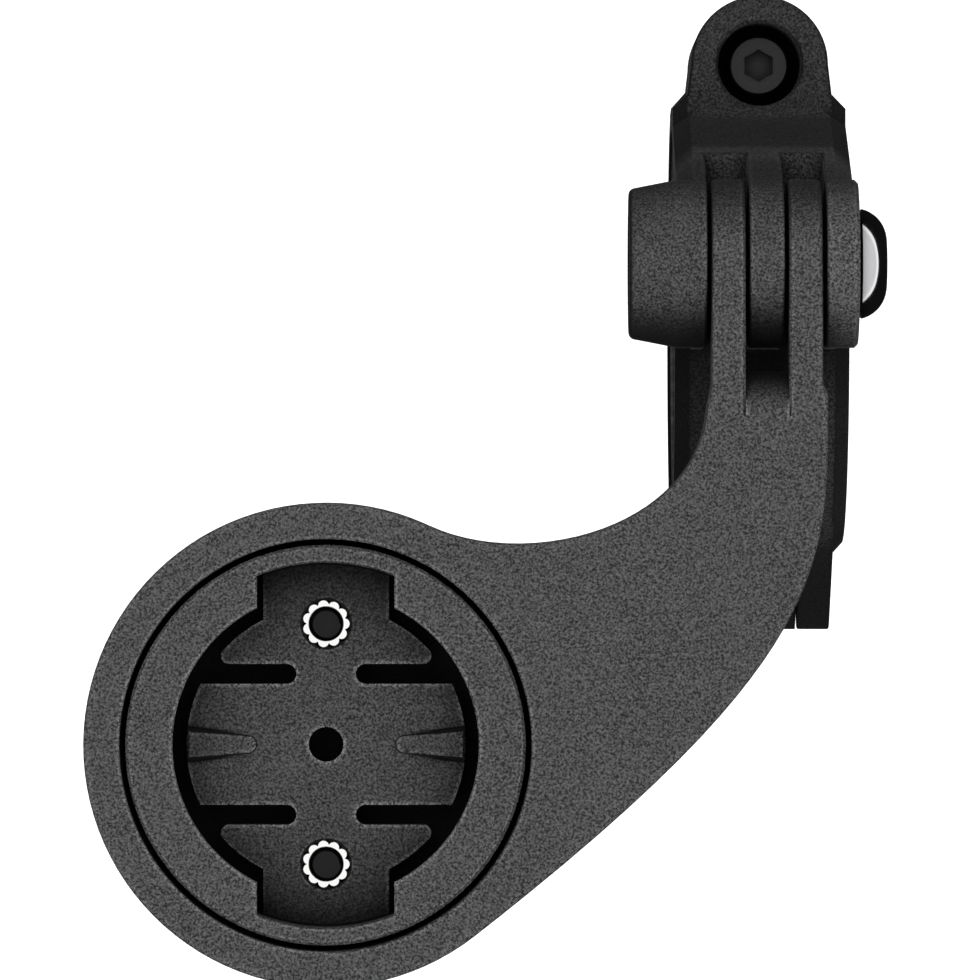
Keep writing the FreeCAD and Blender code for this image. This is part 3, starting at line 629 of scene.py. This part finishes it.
select_points(screw_head, in_groove)
groove_scale = 1 - knurl_depth / cap_radius
bpy.ops.transform.resize(value=(groove_scale, groove_scale, 1), center_override=(0, 0, 0))
bpy.ops.object.mode_set(mode="OBJECT")
sink_hexagon(screw_head, cap_key, cap_key_depth, cap_height)
seat = screw_high.z - cap_height
screw_thread = thread("clamp_screw_thread", screw_root, screw_crest, screw_pitch, screw_low.z - seat,
                      screw_overlap)
clamp_screw = place_fastener([screw_head, screw_thread], (0, 0, 0), (screw_axis.x, screw_axis.y, seat),
                             black_steel, black_steel)
clamp_screw.name = "knurled_cap_screw"
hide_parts("clamp_screw")
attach(clamp_screw, "screw")

# The arm is moulded in the same nylon as the clamp, flat on top, with two prongs for the pivot and
# a round cup that holds the socket. Painted shade darkens the cup's gap below the socket's floor, the
# web between the prongs and the prongs' rounded tips.
socket_low, socket_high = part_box("twist_socket")
socket_axis = (socket_low + socket_high) / 2
socket_floor_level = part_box("socket_insert_front")[1].z
below_floor_band = (socket_floor_level - 0.0001, socket_floor_level - 0.0005)
web_light = -0.0086
web_dark = -0.0040
arm_nylon = moulded_plastic("arm_nylon", *nylon_look)
arm = Masks(arm_nylon)
cup_gap = (0.0190, 0.0175)
in_cup = arm.ramp(arm.reach(socket_axis), *cup_gap, 0.0, 0.96)
shade_more(arm_nylon, arm.within(arm.ramp(arm.z, *below_floor_band), in_cup))
in_slot = arm.ramp(arm.distance(arm.x), slot_half + 0.0001, slot_half - 0.0001)
down_web = arm.ramp(arm.y, web_light, web_dark, 0.0, 0.92)
shade_more(arm_nylon, arm.within(in_slot, down_web))
prong_tips = arm.ramp(arm.y, 0.0060, 0.0118, 0.0, 0.66)
shade_more(arm_nylon, prong_tips)
dress("arm", arm_nylon)

# The pivot bolt is an M5 button-head screw of blackened steel, turned and cold-formed, with a
# polished head and a hexagon socket. It goes through all five prongs and is tightened from the right.
polished_steel = metal("polished_black_steel", (0.59, 0.59, 0.60), (0.53, 0.53, 0.54), 1.0, (0.07, 0.12),
                       1500, 0.0000005)
bolt_low, bolt_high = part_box("pivot_bolt")
bolt_axis = (bolt_low + bolt_high) / 2
button_radius = (bolt_high.z - bolt_low.z) / 2
button_height = 0.00252
button_rim = 0.00036
button_rim_break = 0.00004
button_taper = 0.0003
button_flat = 0.0020
bolt_root = 0.00206
bolt_crest = 0.00246
bolt_pitch = 0.0008
bolt_overlap = 0.00005
bolt_key = 0.003
bolt_key_depth = 0.0017
bolt_key_bevel = 0.00008
dome_steps = 10
dome_facets = 64
rise = button_height - button_rim
run = button_radius - button_flat
dome_curve = (run ** 2 + rise ** 2) / (2 * rise)
dome_turn = math.asin(run / dome_curve)
key_mouth = bolt_key / math.sqrt(3) + bolt_key_bevel
dome = [(0, button_height - bolt_key_bevel), (key_mouth - bolt_key_bevel, button_height - bolt_key_bevel),
        (key_mouth, button_height)]
for step in range(dome_steps + 1):
    turn = dome_turn * step / dome_steps
    dome.append((button_flat + dome_curve * math.sin(turn),
                 button_height - dome_curve * (1 - math.cos(turn))))
dome += [(button_radius, button_rim - button_rim_break), (button_radius - button_taper, 0), (0, 0)]
bolt_head = lathe("pivot_bolt_button_head", dome, dome_facets)
sink_hexagon(bolt_head, bolt_key, bolt_key_depth, button_height)
shank_length = bolt_high.x - bolt_low.x - button_height
bolt_thread = thread("pivot_bolt_thread", bolt_root, bolt_crest, bolt_pitch, -shank_length, bolt_overlap)
washer_face = bolt_high.x - button_height
pivot_bolt = place_fastener([bolt_head, bolt_thread], (0, math.radians(90), 0),
                            (washer_face, bolt_axis.y, bolt_axis.z), polished_steel, black_steel)
pivot_bolt.name = "button_head_pivot_bolt"
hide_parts("pivot_bolt")
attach(pivot_bolt, "clamp")

# The quarter-turn socket is a nylon disc that drops into the arm's cup. A computer's foot enters
# by the two notches, turns under the thin ledge and rides over two tapered ribs on the sprung
# floor, which four slots set free.
socket_nylon = moulded_plastic("socket_nylon", *nylon_look)
socket = Masks(socket_nylon)
# Painted shade darkens the floor under the ledge towards the wall, the steep faces under the ledge and
# everything below the floor.
below_ledge = socket.ramp(socket.z, deck - 0.0006, deck - 0.0018)
from_axis = socket.reach(socket_axis)
shade_more(socket_nylon, socket.within(below_ledge, socket.ramp(from_axis, 0.003, 0.017, 0.14, 0.60)))
wall = socket.ramp(socket.tree.nodes["facing"].outputs["Z"], 0.85, 0.40)
shade_more(socket_nylon, socket.within(below_ledge, wall))
shade_more(socket_nylon, socket.ramp(socket.z, *below_floor_band))
across = socket.distance(socket.y, socket_axis.y)
along = socket.distance(socket.x, socket_axis.x)

# A fine painted shadow line follows the foot of each rib, which widens from its tip to the wall.
rib_inner = 0.0067
rib_outer = 0.0118
rib_foot = (0.00084, 0.00146)
rib_shadow = (0.00022, 0.00006)
foot_line = fade(socket.tree, along, rib_inner, rib_outer, *rib_foot)
rib_line = socket.ramp(socket.distance(across, foot_line), *rib_shadow)
deep_end = socket.ramp(along, rib_inner, rib_outer - 0.0015)
shade_more(socket_nylon, socket.within(rib_line, below_ledge, deep_end))

# Painted shade draws dark lines along the wall of each notch and darkens its bevel, and dark rings lie
# round the two inserts.
notch_wall = 0.01560
notch_half = 0.00575
notch_start = (0.0120, 0.0125)
beside_notch = socket.ramp(along, notch_half + 0.0001, notch_half)
in_notch = socket.within(beside_notch, socket.ramp(across, *notch_start))
from_wall = socket.distance(from_axis, notch_wall - 0.00006)
at_wall = socket.ramp(from_wall, 0.00013, 0.00006, 0.0, 0.95)
on_bevel = socket.ramp(from_axis, notch_wall + 0.00026, notch_wall + 0.00018, 0.0, 0.62)
off_floor = socket.ramp(from_axis, notch_wall - 0.00002, notch_wall + 0.00002)
shade_more(socket_nylon, socket.within(at_wall, in_notch))
shade_more(socket_nylon, socket.within(on_bevel, off_floor, in_notch))
insert_ring = (0.00232, 0.00218)
for name in ("socket_insert_front", "socket_insert_rear"):
    low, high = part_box(name)
    from_insert = socket.reach((low + high) / 2)
    shade_more(socket_nylon, socket.ramp(from_insert, *insert_ring, 0.0, 0.97))
dress("twist_socket", socket_nylon)

# Two nickel-plated brass inserts have a knurl of eleven rounded lobes. They are set in the socket's
# floor and stand a hair proud of it, and the countersunk screws from under the cup end in them.
nickel = metal("bright_nickel", (0.98, 0.975, 0.965), (0.93, 0.925, 0.91), 1.0, (0.12, 0.28),
               1500, 0.000002)
insert_lobes = 11
lobe_facets = 8
lobe_radius = 0.00049
lobe_centre = 0.00158
insert_bore = 0.00147
insert_edge = 0.00005
insert_proud = 0.00005
insert_tip = lobe_centre + lobe_radius
lobe_turn = math.tau / insert_lobes
for name in ("socket_insert_front", "socket_insert_rear"):
    low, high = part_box(name)
    axis = (low + high) / 2
    height = high.z - low.z + insert_proud
    shoulder = height - insert_edge
    ring = [(insert_bore + insert_edge, height), (insert_tip - insert_edge, height), (insert_tip, shoulder),
            (insert_tip, 0), (insert_bore, 0), (insert_bore, shoulder), (insert_bore + insert_edge, height)]
    insert = lathe(name.replace("socket_insert", "lobed_insert"), ring, insert_lobes * lobe_facets)
    bpy.ops.object.mode_set(mode="EDIT")
    for facet in range(1, lobe_facets):
        turn = lobe_turn * facet / lobe_facets
        from_lobe = min(turn, lobe_turn - turn)
        chord = lobe_centre * math.sin(from_lobe)
        reach = lobe_centre * math.cos(from_lobe) + math.sqrt(lobe_radius ** 2 - chord ** 2)

        def on_facet(place):
            """The outer points at this facet's turn within each lobe."""
            step = round(math.atan2(place.y, place.x) / lobe_turn * lobe_facets)
            return step % lobe_facets == facet and place.xy.length > (insert_bore + insert_tip) / 2

        select_points(insert, on_facet)
        inwards = reach / insert_tip
        bpy.ops.transform.resize(value=(inwards, inwards, 1), center_override=(0, 0, 0))
    bpy.ops.object.mode_set(mode="OBJECT")
    insert = place_fastener([insert], (0, 0, 0), (axis.x, axis.y, low.z), nickel)
    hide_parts(name)
    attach(insert, "arm")

# Two M3 countersunk screws of blackened steel hold the socket. They are driven from under the cup
# with a hexagon key, and their flat ends show inside the inserts.
dark_steel = metal("dull_black_steel", (0.014, 0.014, 0.015), (0.010, 0.010, 0.010), 0.8, (0.45, 0.60),
                   1500, 0.000002)
flat_head_radius = 0.0029
flat_head_height = 0.0015
flat_head_rim = 0.0001
flat_head_facets = 48
flat_key = 0.002
flat_key_depth = 0.0011
flat_key_bevel = 0.00006
stem_root = 0.00132
stem_taper = 0.87
for name in ("socket_screw_front", "socket_screw_rear"):
    low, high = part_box(name)
    axis = (low + high) / 2
    length = high.z - low.z
    mouth = flat_key / math.sqrt(3) + flat_key_bevel
    cone = [(0, -flat_key_bevel), (mouth - flat_key_bevel, -flat_key_bevel), (mouth, 0),
            (flat_head_radius - flat_head_rim, 0), (flat_head_radius, -flat_head_rim),
            (screw_crest, -flat_head_height), (0, -flat_head_height)]
    head = lathe("countersunk_head", cone, flat_head_facets)
    sink_hexagon(head, flat_key, flat_key_depth, 0)
    stem = thread("countersunk_thread", stem_root, screw_crest, screw_pitch, -length,
                  screw_overlap - flat_head_height, stem_taper)
    screw = place_fastener([head, stem], (math.radians(180), 0, 0), (axis.x, axis.y, low.z),
                           dark_steel, dark_steel)
    screw.name = name.replace("socket_screw", "countersunk_screw")
    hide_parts(name)
    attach(screw, "arm")
